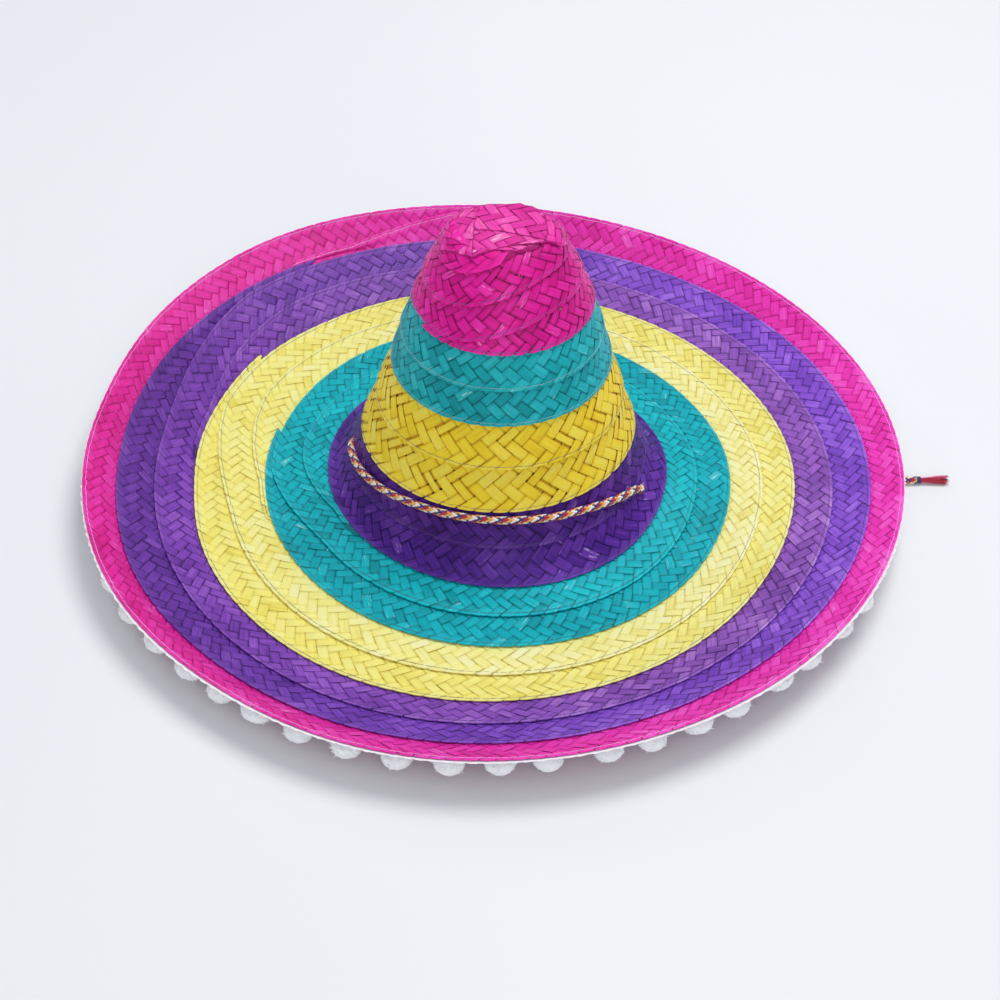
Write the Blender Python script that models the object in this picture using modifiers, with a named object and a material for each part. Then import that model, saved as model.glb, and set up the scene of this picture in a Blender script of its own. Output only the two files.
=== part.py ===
"""Sombrero sewn from spiral turns of dyed palm plait, with a pompom fringe and a braided chin cord.

Metres, +Z up. The hat stands on its brim: the lowest ring of the brim lies on z = 0 and the crown's
axis is the Z axis. -Y is the front of the hat, where the chin cord crosses the crown.

Every tape follows one surface of revolution, called the shell here. A place on the shell is an arc
length from the tip along its meridian, an azimuth about Z, and an offset along its outward normal.
"""

import math

import bmesh
import bpy
from mathutils import Matrix, Vector

# Plaited tape.
TAPE_THICKNESS = 0.001
TAPE_STEP = 0.0016  # rise from a turn's covered edge to its covering edge
OVERLAP = 0.004  # width that each turn covers of the next one out
EDGE_GAP = 0.0005  # level width past a neighbour's edge, before the tape starts to rise
LEAST_SHOWING = 0.0058  # showing width where a tape is cut off at its two ends
STEPS_PER_TURN = 32
ANGLE_SLACK = 1e-6  # keeps rounding from moving a step across a turn's end

# Shell meridian (radius, height) from the tip of the crown to the rim of the brim. Its level
# stretch is as high as leaves the covered edges of the turns there lying on z = 0.
REST_HEIGHT = (TAPE_STEP + TAPE_THICKNESS) / 2
MERIDIAN = [
    (0.0, 0.1994),
    (0.022, 0.1965),
    (0.039, 0.1818),
    (0.0577, 0.1454),
    (0.0732, 0.1024),
    (0.0877, 0.0474),
    (0.0952, 0.0263),
    (0.1112, 0.0052),
    (0.148, REST_HEIGHT),
    (0.184, REST_HEIGHT),
    (0.199, 0.0037),
    (0.2447, 0.0194),
    (0.265, 0.0304),
]

# Each tape: name, shell radius at its outer edge, turns, azimuth where its turns end, angle over
# which a turn crosses to the next one, colour.
TIP_RADIUS = 0.0225
MAGENTA = (0.60, 0.02, 0.24)
TEAL = (0.01, 0.35, 0.38)
YELLOW = (0.80, 0.66, 0.16)
PURPLE = (0.12, 0.03, 0.32)
DARK_PURPLE = (0.06, 0.015, 0.19)
TAPES = [
    ("crown_magenta_plait", 0.0577, 3, 210, 110, MAGENTA),
    ("crown_teal_plait", 0.0732, 2, 120, 60, TEAL),
    ("crown_yellow_plait", 0.0877, 2, 75, 60, YELLOW),
    ("crown_purple_plait", 0.1112, 2, 100, 60, DARK_PURPLE),
    ("brim_teal_plait", 0.1526, 2, 165, 50, TEAL),
    ("brim_yellow_plait", 0.1990, 2, 150, 50, YELLOW),
    ("brim_purple_plait", 0.2447, 2, 135, 50, PURPLE),
    ("brim_magenta_plait", 0.2650, 1, 140, 50, MAGENTA),
]

# Low arch in the brim, where the cord's right tail runs out under it.
ARCH_HEIGHT = 0.0062
ARCH_AZIMUTH = math.radians(-7)
ARCH_HALF_ANGLE = math.radians(24)
ARCH_RISE = (0.090, 0.106)  # radii between which the arch starts
ARCH_FALL = (0.190, 0.235)  # radii between which it dies away

# Fringe: a tape under the rim with pompoms on its lower side.
TRIM_THICKNESS = 0.0008
TRIM_WIDTH = 0.0105
TRIM_PROUD = 0.001  # how far the trim shows past the rim
TRIM_OFFSET = -0.0021
POMPOMS = 57
POMPOM_RADIUS = 0.0074
POMPOM_HALF_HEIGHT = 0.0066
POMPOM_RING = 0.2590
POMPOM_SUNK = 0.0008  # how far a pompom is sunk into the trim

# Chin cord.
CORD_DIAMETER = 0.0045
CORD_OFFSET = 0.0041  # its centre line above the shell, where it lies on the crown
HOLE_CLEARANCE = 0.0006
GAP = 0.0003
# Across the front of the crown: (azimuth in degrees, arc length from the tip).
FRONT_ROUTE = [
    (-172, 0.2020),
    (-160, 0.1982),
    (-146, 0.1952),
    (-130, 0.1932),
    (-110, 0.1922),
    (-90, 0.1928),
    (-70, 0.1950),
    (-52, 0.1990),
    (-38, 0.2060),
    (-27, 0.2145),
]
LEFT_HOLE = (-180, 0.2040)
RIGHT_HOLE = (-18.5, 0.2190)
HOLE_REACH = math.radians(5.5)  # azimuth between a hole's middle and the cord's ends on both sides of it
INSIDE_OFFSET = -0.0075
STRAIGHT_START = 0.0045  # each tail goes on straight from its hole this far
# From the right hole down to the floor, out under the arch and past the rim: (x, y, z).
RIGHT_TAIL = [
    (0.0800, -0.0080, 0.0078),
    (0.0778, 0.0040, 0.0030),
    (0.0845, 0.0115, 0.0026),
    (0.0960, 0.0085, 0.0026),
    (0.1110, -0.0020, 0.0026),
    (0.1330, -0.0115, 0.0026),
    (0.1650, -0.0160, 0.0026),
    (0.2000, -0.0150, 0.0026),
    (0.2400, -0.0110, 0.0026),
    (0.2780, -0.0095, 0.0028),
]
# From the left hole down to the floor and along the inside of the crown: (azimuth, radius, z).
LEFT_TAIL = [
    (163, 0.0840, 0.0170),
    (154, 0.0850, 0.0075),
    (145, 0.0870, 0.0030),
    (135, 0.0890, 0.0026),
    (115, 0.0915, 0.0026),
    (95, 0.0905, 0.0026),
    (75, 0.0925, 0.0026),
    (57, 0.0900, 0.0026),
    (42, 0.0910, 0.0026),
    (31, 0.0895, 0.0027),
]
TASSEL_LENGTH = 0.023
TASSEL_END_RADIUS = 0.0034
CORD_COLOUR = (0.75, 0.55, 0.40)
THREAD_COLOUR = (0.55, 0.03, 0.10)
WHITE = (0.86, 0.85, 0.86)


def hermite(low, high, slope_low, slope_high, t, span):
    """Cubic from low to high across span, t from 0 to 1, with the two end slopes."""
    rest = 1 - t
    value = low * (1 + 2 * t) * rest * rest + high * t * t * (3 - 2 * t)
    return value + span * t * rest * (slope_low * rest - slope_high * t)


def knots_of(points):
    """Running chord length at each point."""
    knots = [0.0]
    for before, after in zip(points, points[1:]):
        knots.append(knots[-1] + math.dist(before, after))
    return knots


def level_slopes(knots, values):
    """Slopes at the knots that never overshoot, so that a level stretch stays level."""
    steps = [(b - a) / (v - u) for a, b, u, v in zip(values, values[1:], knots, knots[1:])]
    inner = [0.0 if a * b <= 0 else 2 * a * b / (a + b) for a, b in zip(steps, steps[1:])]
    return [steps[0]] + inner + [steps[-1]]


KNOTS = knots_of(MERIDIAN)
RADII = [radius for radius, _ in MERIDIAN]
HEIGHTS = [height for _, height in MERIDIAN]
RADIUS_SLOPES = level_slopes(KNOTS, RADII)
HEIGHT_SLOPES = level_slopes(KNOTS, HEIGHTS)
RIM_ARC = KNOTS[-1]


def meridian(arc):
    """(radius, height) of the shell at an arc length from the tip; straight on past the rim."""
    if arc >= RIM_ARC:
        past = arc - RIM_ARC
        return RADII[-1] + RADIUS_SLOPES[-1] * past, HEIGHTS[-1] + HEIGHT_SLOPES[-1] * past
    i = max(k for k in range(len(KNOTS) - 1) if KNOTS[k] <= max(arc, 0.0))
    span = KNOTS[i + 1] - KNOTS[i]
    t = (arc - KNOTS[i]) / span
    radius = hermite(RADII[i], RADII[i + 1], RADIUS_SLOPES[i], RADIUS_SLOPES[i + 1], t, span)
    height = hermite(HEIGHTS[i], HEIGHTS[i + 1], HEIGHT_SLOPES[i], HEIGHT_SLOPES[i + 1], t, span)
    return radius, height


def arc_at(radius):
    """Arc length from the tip at which the shell has this radius."""
    low, high = 0.0, RIM_ARC
    for _ in range(40):
        middle = (low + high) / 2
        if meridian(middle)[0] < radius:
            low = middle
        else:
            high = middle
    return (low + high) / 2


def smooth(low, high, value):
    """0 below low, 1 above high, and an S curve between."""
    t = min(max((value - low) / (high - low), 0.0), 1.0)
    return t * t * (3 - 2 * t)


def arch(radius, azimuth):
    """Height that the brim's arch adds at a place."""
    turn = math.remainder(azimuth - ARCH_AZIMUTH, 2 * math.pi) / ARCH_HALF_ANGLE
    along = smooth(*ARCH_RISE, radius) * (1 - smooth(*ARCH_FALL, radius))
    return ARCH_HEIGHT * along * math.exp(-turn * turn)


def shell_point(arc, azimuth, offset):
    """The point at an arc length and azimuth on the shell, offset along its outward normal."""
    radius, height = meridian(arc)
    step = 1e-4
    ahead, behind = meridian(arc + step), meridian(max(arc - step, 0.0))
    along = Vector((ahead[0] - behind[0], ahead[1] - behind[1])).normalized()
    lift = arch(radius, azimuth)
    radius -= along.y * offset
    height += along.x * offset
    return Vector((radius * math.cos(azimuth), radius * math.sin(azimuth), height + lift))


def new_object(name, mesh, colour, roughness=0.55):
    """An object of this mesh in the sombrero's collection, with a material of its own."""
    material = bpy.data.materials.new(name)
    material.use_nodes = True
    shader = material.node_tree.nodes["Principled BSDF"]
    shader.inputs["Base Color"].default_value = (*colour, 1)
    shader.inputs["Roughness"].default_value = roughness
    shader.inputs["Metallic"].default_value = 0.0
    mesh.materials.clear()
    mesh.materials.append(material)
    made = bpy.data.objects.new(name, mesh)
    parts.objects.link(made)
    return made


def cutter_object(name, mesh):
    """A helper that cuts or joins, kept out of the model itself."""
    made = bpy.data.objects.new(name, mesh)
    cutters.objects.link(made)
    made.hide_render = True
    made.display_type = "WIRE"
    return made


def add_boolean(target, operation, other):
    modifier = target.modifiers.new(operation.lower(), "BOOLEAN")
    modifier.operation = operation
    modifier.object = other


def loft(name, sections, closed=False):
    """A mesh skinned over equal closed sections, with its two ends filled or, if closed, joined."""
    form = bmesh.new()
    rings = [[form.verts.new(point) for point in section] for section in sections]
    pairs = list(zip(rings, rings[1:]))
    if closed:
        pairs.append((rings[-1], rings[0]))
    else:
        form.faces.new(rings[0])
        form.faces.new(rings[-1])
    for ring, after in pairs:
        for i in range(len(ring)):
            k = (i + 1) % len(ring)
            form.faces.new((ring[i], ring[k], after[k], after[i]))
    bmesh.ops.recalc_face_normals(form, faces=form.faces)
    mesh = bpy.data.meshes.new(name)
    form.to_mesh(mesh)
    form.free()
    return mesh


def turn_edge(wound, start, end, turns, crossing):
    """Outer edge, as an arc length, of a tape at the angle that it has wound so far.

    Each turn keeps to its own ring and crosses to the next one over the angle crossing.
    """
    full = 2 * math.pi
    if wound < -crossing - ANGLE_SLACK:
        return start
    if wound > full * (turns - 1) - ANGLE_SLACK:
        return end
    crossed = math.floor((wound + crossing + ANGLE_SLACK) / full)
    part = smooth(-crossing, 0, wound - full * crossed)
    edge = start + (end - start) * (crossed + part) / turns
    return min(max(edge, start + LEAST_SHOWING), end - LEAST_SHOWING)


def tape_section(wound, azimuth, start, end, turns, crossing):
    """Closed section of a tape: from its covered inner edge to its covering outer edge, and back."""
    inner = turn_edge(wound - 2 * math.pi, start, end, turns, crossing)
    outer = turn_edge(wound, start, end, turns, crossing)
    low, high = -TAPE_STEP / 2, TAPE_STEP / 2
    rise_from, rise_to = inner + EDGE_GAP, outer - OVERLAP - EDGE_GAP
    line = [(inner - OVERLAP, low), (rise_from, low), (rise_to, high), (outer, high)]
    half = TAPE_THICKNESS / 2
    above = [shell_point(arc, azimuth, offset + half) for arc, offset in line]
    below = [shell_point(arc, azimuth, offset - half) for arc, offset in line]
    return above + below[::-1]


def make_tape(name, start, end, turns, ends_at, crossing_degrees, colour):
    """A tape wound clockwise, seen from above, from its inner ring out to its outer one."""
    step = 2 * math.pi / STEPS_PER_TURN
    crossing_steps = round(math.radians(crossing_degrees) / step)
    end_azimuth = round(math.radians(ends_at) / step) * step
    sections = []
    for i in range(-crossing_steps, turns * STEPS_PER_TURN):
        wound = i * step
        azimuth = end_azimuth - wound
        sections.append(tape_section(wound, azimuth, start, end, turns, crossing_steps * step))
    return new_object(name, loft(name, sections), colour)


def make_tapes():
    """All the tapes from the tip to the rim, each covering the start of the next."""
    made = {}
    start = arc_at(TIP_RADIUS)
    for name, radius, turns, ends_at, crossing, colour in TAPES:
        end = arc_at(radius)
        made[name] = make_tape(name, start, end, turns, ends_at, crossing, colour)
        start = end
    return made


def make_crown_tip():
    """The folded start of the plait, closing the top of the crown."""
    reach = arc_at(TIP_RADIUS)
    half = TAPE_THICKNESS / 2
    arcs = [reach * i / 4 for i in range(5)]
    above = [shell_point(arc, 0, TAPE_STEP / 2 + half) for arc in arcs]
    below = [shell_point(arc, 0, TAPE_STEP / 2 - half) for arc in arcs]
    outline = above + below[::-1]
    outline[0].x = outline[-1].x = 0
    mesh = bpy.data.meshes.new("crown_tip")
    edges = [(i, i + 1) for i in range(len(outline) - 1)]
    mesh.from_pydata(outline, edges, [])
    tip = new_object("crown_tip", mesh, MAGENTA)
    screw = tip.modifiers.new("turn", "SCREW")
    screw.steps = screw.render_steps = STEPS_PER_TURN
    screw.use_merge_vertices = True
    screw.merge_threshold = 0.00001
    screw.use_normal_calculate = True


def pompom_mesh():
    """All the pompoms as one helper mesh, for joining to the trim."""
    form = bmesh.new()
    _, rim_height = meridian(arc_at(POMPOM_RING))
    under_trim = rim_height + TRIM_OFFSET - TRIM_THICKNESS / 2
    height = under_trim + POMPOM_SUNK - POMPOM_HALF_HEIGHT
    size = Matrix.Diagonal((POMPOM_RADIUS, POMPOM_RADIUS, POMPOM_HALF_HEIGHT, 1))
    for i in range(POMPOMS):
        turned = Matrix.Rotation(2 * math.pi * i / POMPOMS, 4, "Z")
        place = turned @ Matrix.Translation((POMPOM_RING, 0, height)) @ size
        bmesh.ops.create_uvsphere(form, u_segments=6, v_segments=3, radius=1, matrix=place)
    mesh = bpy.data.meshes.new("pompoms")
    form.to_mesh(mesh)
    form.free()
    return mesh


def make_pompom_trim():
    """The white tape sewn under the rim, with its pompoms joined on."""
    half = TRIM_THICKNESS / 2
    outer = RIM_ARC + TRIM_PROUD
    inner = outer - TRIM_WIDTH
    corners = [(inner, half), (outer, half), (outer, -half), (inner, -half)]
    sections = []
    for i in range(POMPOMS):
        azimuth = 2 * math.pi * (i + 0.5) / POMPOMS
        sections.append([shell_point(arc, azimuth, TRIM_OFFSET + up) for arc, up in corners])
    trim = new_object("pompom_trim", loft("pompom_trim", sections, closed=True), WHITE, 0.9)
    add_boolean(trim, "UNION", cutter_object("pompoms", pompom_mesh()))


def curve_through(points, spacing):
    """Points about spacing apart on a smooth curve through the route's own points."""
    ends = [2 * points[0] - points[1]] + points + [2 * points[-1] - points[-2]]
    found = []
    for before, a, b, after in zip(ends, ends[1:], ends[2:], ends[3:]):
        span = (b - a).length
        slope_a = (b - before) / ((b - a).length + (a - before).length)
        slope_b = (after - a) / ((after - b).length + (b - a).length)
        count = max(1, round(span / spacing))
        found += [hermite(a, b, slope_a, slope_b, i / count, span) for i in range(count)]
    return found + [points[-1]]


def tube_object(name, points, diameter, colour):
    """A cord's plain tube along these points."""
    curve = bpy.data.curves.new(name, "CURVE")
    curve.dimensions = "3D"
    curve.bevel_depth = diameter / 2
    curve.bevel_resolution = 2
    curve.use_fill_caps = True
    spline = curve.splines.new("POLY")
    spline.points.add(len(points) - 1)
    for place, point in zip(spline.points, points):
        place.co = (*point, 1)
    return new_object(name, curve, colour, 0.8)


def hole_ends(hole, towards):
    """Centre-line points of the cord outside and inside a hole; towards is +1 or -1 in azimuth."""
    azimuth, arc = math.radians(hole[0]), hole[1]
    outside = shell_point(arc, azimuth - towards * HOLE_REACH, CORD_OFFSET)
    inside = shell_point(arc, azimuth + towards * HOLE_REACH, INSIDE_OFFSET)
    return outside, inside


def cut_hole(tape, name, outside, inside):
    """A slanting round hole through the tape, for the cord to pass."""
    form = bmesh.new()
    along = inside - outside
    place = Matrix.Translation((outside + inside) / 2) @ along.to_track_quat("Z", "Y").to_matrix().to_4x4()
    radius = CORD_DIAMETER / 2 + HOLE_CLEARANCE
    bmesh.ops.create_cone(
        form, cap_ends=True, segments=16, radius1=radius, radius2=radius, depth=along.length, matrix=place
    )
    mesh = bpy.data.meshes.new(name)
    form.to_mesh(mesh)
    form.free()
    add_boolean(tape, "DIFFERENCE", cutter_object(name, mesh))


def make_tassel(name, start, direction):
    """A tuft of the cord's loose threads, widening from its knot and lying on the floor."""
    along = direction.copy()
    along.z = 0
    along.normalize()
    start_radius = CORD_DIAMETER / 2
    rise = TASSEL_END_RADIUS - start_radius
    along = (along * TASSEL_LENGTH + Vector((0, 0, rise))).normalized()
    form = bmesh.new()
    middle = start + along * (GAP + TASSEL_LENGTH / 2)
    place = Matrix.Translation(middle) @ along.to_track_quat("Z", "Y").to_matrix().to_4x4()
    bmesh.ops.create_cone(
        form,
        cap_ends=True,
        segments=12,
        radius1=start_radius,
        radius2=TASSEL_END_RADIUS,
        depth=TASSEL_LENGTH,
        matrix=place,
    )
    mesh = bpy.data.meshes.new(name)
    form.to_mesh(mesh)
    form.free()
    new_object(name, mesh, THREAD_COLOUR, 0.8)


def make_cord(purple_tape):
    """The chin cord: its stretch across the front, the two holes it passes, its tails and tassels."""
    spacing = 2.2 * CORD_DIAMETER
    left_outside, left_inside = hole_ends(LEFT_HOLE, -1)
    right_outside, right_inside = hole_ends(RIGHT_HOLE, 1)
    cut_hole(purple_tape, "left_cord_hole", left_outside, left_inside)
    cut_hole(purple_tape, "right_cord_hole", right_outside, right_inside)
    front = [shell_point(arc, math.radians(azimuth), CORD_OFFSET) for azimuth, arc in FRONT_ROUTE]
    front = [left_inside, left_outside] + front + [right_outside, right_inside]
    tube_object("chin_cord_front", curve_through(front, spacing), CORD_DIAMETER, CORD_COLOUR)

    right = [Vector(point) for point in RIGHT_TAIL]
    left = []
    for degrees, radius, height in LEFT_TAIL:
        azimuth = math.radians(degrees)
        left.append(Vector((radius * math.cos(azimuth), radius * math.sin(azimuth), height)))
    for side, outside, inside, tail in (
        ("right", right_outside, right_inside, right),
        ("left", left_outside, left_inside, left),
    ):
        onward = (inside - outside).normalized()
        start = [inside + onward * GAP, inside + onward * STRAIGHT_START]
        points = curve_through(start + tail, spacing)
        tube_object(f"chin_cord_{side}_tail", points, CORD_DIAMETER, CORD_COLOUR)
        make_tassel(f"{side}_tassel", points[-1], points[-1] - points[-2])


for old in list(bpy.data.objects):
    bpy.data.objects.remove(old, do_unlink=True)
parts = bpy.data.collections.new("sombrero")
cutters = bpy.data.collections.new("cutters")
bpy.context.scene.collection.children.link(parts)
bpy.context.scene.collection.children.link(cutters)

make_crown_tip()
tapes = make_tapes()
make_pompom_trim()
make_cord(tapes["crown_purple_plait"])
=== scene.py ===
"""Sombrero sewn from spiral rows of dyed palm plait, with a pompom fringe and a braided chin cord.

Metres, +Z up, -Y is the front. Every row of plait follows one surface of revolution, the shell: a
place on it is an arc length from the crown's tip, an azimuth, and an offset along the normal.
"""

import math

import bpy
import numpy as np
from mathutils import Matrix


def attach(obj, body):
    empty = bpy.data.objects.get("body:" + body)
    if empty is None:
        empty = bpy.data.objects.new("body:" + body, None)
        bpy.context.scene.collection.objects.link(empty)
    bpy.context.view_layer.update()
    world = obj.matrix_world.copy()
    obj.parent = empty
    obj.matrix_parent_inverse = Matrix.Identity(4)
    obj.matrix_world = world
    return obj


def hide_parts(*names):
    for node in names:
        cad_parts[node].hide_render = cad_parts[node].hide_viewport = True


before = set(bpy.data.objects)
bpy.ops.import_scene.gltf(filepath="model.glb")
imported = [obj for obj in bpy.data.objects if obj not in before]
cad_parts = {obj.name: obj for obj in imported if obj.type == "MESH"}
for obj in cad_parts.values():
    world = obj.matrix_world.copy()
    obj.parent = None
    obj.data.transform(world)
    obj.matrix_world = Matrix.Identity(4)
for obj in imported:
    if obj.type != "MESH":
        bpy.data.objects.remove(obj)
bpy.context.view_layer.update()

MM = 0.001
FULL = 2 * math.pi
rng = np.random.default_rng(57)

# ---- camera
CAMERA_ELEVATION = math.radians(41.88)
CAMERA_DISTANCE = 1.192
CAMERA_TARGET_Z = 0.0028
CAMERA_LENS = 64.7  # mm on a 36 mm sensor
CAMERA_SHIFT = (0.0055, -0.0296)


def make_camera():
    data = bpy.data.cameras.new("camera")
    data.sensor_width = 36
    data.lens = CAMERA_LENS
    data.shift_x, data.shift_y = CAMERA_SHIFT
    camera = bpy.data.objects.new("camera", data)
    bpy.context.scene.collection.objects.link(camera)
    back = CAMERA_DISTANCE * math.cos(CAMERA_ELEVATION)
    up = CAMERA_DISTANCE * math.sin(CAMERA_ELEVATION)
    camera.location = (0, -back, CAMERA_TARGET_Z + up)
    camera.rotation_euler = (math.pi / 2 - CAMERA_ELEVATION, 0, 0)
    bpy.context.scene.camera = camera


make_camera()

# ---- shell, as the CAD has it
OVERLAP = 4 * MM
REST_HEIGHT = 1.3 * MM
MERIDIAN = [
    (0.0, 0.1994), (0.022, 0.1965), (0.039, 0.1818), (0.0577, 0.1454),
    (0.0732, 0.1024), (0.0877, 0.0474), (0.0952, 0.0263), (0.1112, 0.0052),
    (0.148, REST_HEIGHT), (0.184, REST_HEIGHT), (0.199, 0.0037), (0.2447, 0.0194),
    (0.265, 0.0304),
]
TIP_RADIUS = 0.0225
ARCH_HEIGHT = 6.2 * MM
ARCH_AZIMUTH = math.radians(-7)
ARCH_HALF_ANGLE = math.radians(24)
ARCH_RISE = (0.090, 0.106)
ARCH_FALL = (0.190, 0.235)

# Unevenness of a hand-sewn hat. At each radius, in mm: the height that follows cos, sin, cos 2 and
# sin 2 of the azimuth; then how far a ring lies off to +X and +Y, and how far its radius grows
# evenly and with cos 2, sin 2, cos 3 and sin 3 of the azimuth.
SWAY_RADII = [0.0, 0.200, 0.2447, 0.265]
SWAY = [(0, 0, 0, 0), (0, 0, 0, 0), (-3.1, 0.7, 1.4, -5.3), (-3.9, 2.5, -0.9, -5.1)]
DRIFT_RADII = [0.0, 0.0225, 0.039, 0.0577, 0.0732, 0.0877, 0.1112, 0.1526, 0.199, 0.2447, 0.265]
DRIFT = [
    (4.2, 0, 0, 0, 0, 0, 0),
    (4.6, 0, 4.4, 4.4, 0, 0, 0),
    (5.0, 0, 0, 0, 0, 0, 0),
    (5.2, 0, -1.3, -1.3, 0, 0, 0),
    (4.4, 0, -3.6, -1.4, 0, 0, 0),
    (2.4, 0, -0.5, 0, 0, 0, 0),
    (1.6, 0.5, -0.3, 0.3, -2.5, -0.2, 0.4),
    (0.8, 0.2, 2.1, -1.8, -2.7, 0.5, 0.2),
    (-3.0, -0.8, 0.1, -1.1, -1.5, 1.3, 0.7),
    (-0.6, 0.4, -0.3, -0.1, -0.2, 0.3, 0),
    (-0.3, 0.4, 0.4, -0.7, 0.7, 0, 0),
]
# Dents and bulges: radius, azimuth and half angle in degrees, and how far out in mm.
BULGES = [
    (0.265, -127, 18, -3.2),
    (0.265, 127, 20, 4.0),
    (0.265, 170, 12, -2.5),
    (0.2447, -154, 15, 2.5),
    (0.199, 141, 13, 3.0),
    (0.199, -174, 12, -2.0),
]
BULGE_REACH = 14 * MM  # over which a bulge dies away along the radius


def hermite(low, high, slope_low, slope_high, t, span):
    """Cubic from low to high across span, t from 0 to 1, with the two end slopes."""
    rest = 1 - t
    value = low * (1 + 2 * t) * rest * rest + high * t * t * (3 - 2 * t)
    return value + span * t * rest * (slope_low * rest - slope_high * t)


def level_slopes(knots, values):
    """Slopes at the knots that never overshoot, so that a level stretch stays level."""
    steps = np.diff(values) / np.diff(knots)
    inner = [0.0 if a * b <= 0 else 2 * a * b / (a + b) for a, b in zip(steps, steps[1:])]
    return [steps[0]] + inner + [steps[-1]]


def meridian_table(count):
    """Arc lengths, with the shell's radius and height at each; straight on past the rim."""
    radii, heights = np.array(MERIDIAN).T
    knots = np.concatenate([[0], np.cumsum(np.hypot(np.diff(radii), np.diff(heights)))])
    arcs = np.linspace(0, knots[-1] + 8 * MM, count)
    i = np.clip(np.searchsorted(knots, arcs, side="right") - 1, 0, len(knots) - 2)
    span = knots[i + 1] - knots[i]
    t = np.minimum((arcs - knots[i]) / span, 1)
    past = np.maximum(arcs - knots[-1], 0)
    columns = []
    for values in (radii, heights):
        slopes = np.array(level_slopes(knots, values))
        inside = hermite(values[i], values[i + 1], slopes[i], slopes[i + 1], t, span)
        columns.append(inside + slopes[-1] * past)
    return arcs, *columns, knots[-1]


ARCS, SHELL_RADII, SHELL_HEIGHTS, RIM_ARC = meridian_table(4000)
RADIUS_SLOPE = np.gradient(SHELL_RADII, ARCS)
HEIGHT_SLOPE = np.gradient(SHELL_HEIGHTS, ARCS)


def arc_at(radius):
    return float(np.interp(radius, SHELL_RADII, ARCS))


TIP_ARC = arc_at(TIP_RADIUS)


def smooth(low, high, value):
    """0 below low, 1 above high, and an S curve between."""
    t = np.clip((value - low) / (high - low), 0, 1)
    return t * t * (3 - 2 * t)


def lift_at(radius, azimuth):
    """Height that the brim's arch and its sway add at a place."""
    turn = (np.remainder(azimuth - ARCH_AZIMUTH + math.pi, FULL) - math.pi) / ARCH_HALF_ANGLE
    arch = smooth(*ARCH_RISE, radius) * (1 - smooth(*ARCH_FALL, radius))
    lift = ARCH_HEIGHT * arch * np.exp(-turn * turn)
    waves = (np.cos(azimuth), np.sin(azimuth), np.cos(2 * azimuth), np.sin(2 * azimuth))
    for wave, amounts in zip(waves, zip(*SWAY)):
        lift = lift + MM * wave * np.interp(radius, SWAY_RADII, amounts)
    return lift


def on_shell(arc, azimuth, offset):
    """Points at arc lengths and azimuths on the shell, offset along its outward normal."""
    radius = np.interp(arc, ARCS, SHELL_RADII)
    height = np.interp(arc, ARCS, SHELL_HEIGHTS)
    along_r = np.interp(arc, ARCS, RADIUS_SLOPE)
    along_z = np.interp(arc, ARCS, HEIGHT_SLOPE)
    size = np.hypot(along_r, along_z)
    lift = lift_at(radius, azimuth)
    east, north, *amounts = [MM * np.interp(radius, DRIFT_RADII, column) for column in zip(*DRIFT)]
    waves = (np.cos(2 * azimuth), np.sin(2 * azimuth), np.cos(3 * azimuth), np.sin(3 * azimuth))
    drift = amounts[0] + sum(amount * wave for amount, wave in zip(amounts[1:], waves))
    for ring, degrees, half_angle, out in BULGES:
        turn = np.remainder(azimuth - math.radians(degrees) + math.pi, FULL) - math.pi
        away = np.exp(-(((radius - ring) / BULGE_REACH) ** 2))
        drift = drift + MM * out * away * np.exp(-((turn / math.radians(half_angle)) ** 2))
    radius = radius - along_z / size * offset + drift
    height = height + along_r / size * offset + lift
    x, y = radius * np.cos(azimuth) + east, radius * np.sin(azimuth) + north
    return np.stack([x, y, height], axis=-1)


# ---- meshes
def mesh_object(name, points, faces, attributes=None, sharp_degrees=50):
    """A smooth object of points, and of faces given as arrays of corners, each of one face size."""
    mesh = bpy.data.meshes.new(name)
    corners = np.concatenate([f.reshape(-1) for f in faces])
    sizes = np.concatenate([np.full(len(f), f.shape[1]) for f in faces])
    mesh.vertices.add(len(points))
    mesh.vertices.foreach_set("co", np.ascontiguousarray(points, np.float32).reshape(-1))
    mesh.loops.add(len(corners))
    mesh.loops.foreach_set("vertex_index", corners.astype(np.int32))
    mesh.polygons.add(len(sizes))
    starts = np.concatenate([[0], np.cumsum(sizes)[:-1]])
    mesh.polygons.foreach_set("loop_start", starts.astype(np.int32))
    mesh.update(calc_edges=True)
    for label, values in (attributes or {}).items():
        kind = "FLOAT_VECTOR" if values.ndim == 2 else "FLOAT"
        made = mesh.attributes.new(label, kind, "POINT")
        field = "vector" if values.ndim == 2 else "value"
        made.data.foreach_set(field, np.ascontiguousarray(values, np.float32).reshape(-1))
    mesh.shade_smooth()
    mesh.set_sharp_from_angle(angle=math.radians(sharp_degrees))
    made = bpy.data.objects.new(name, mesh)
    bpy.context.scene.collection.objects.link(made)
    return made


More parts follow.
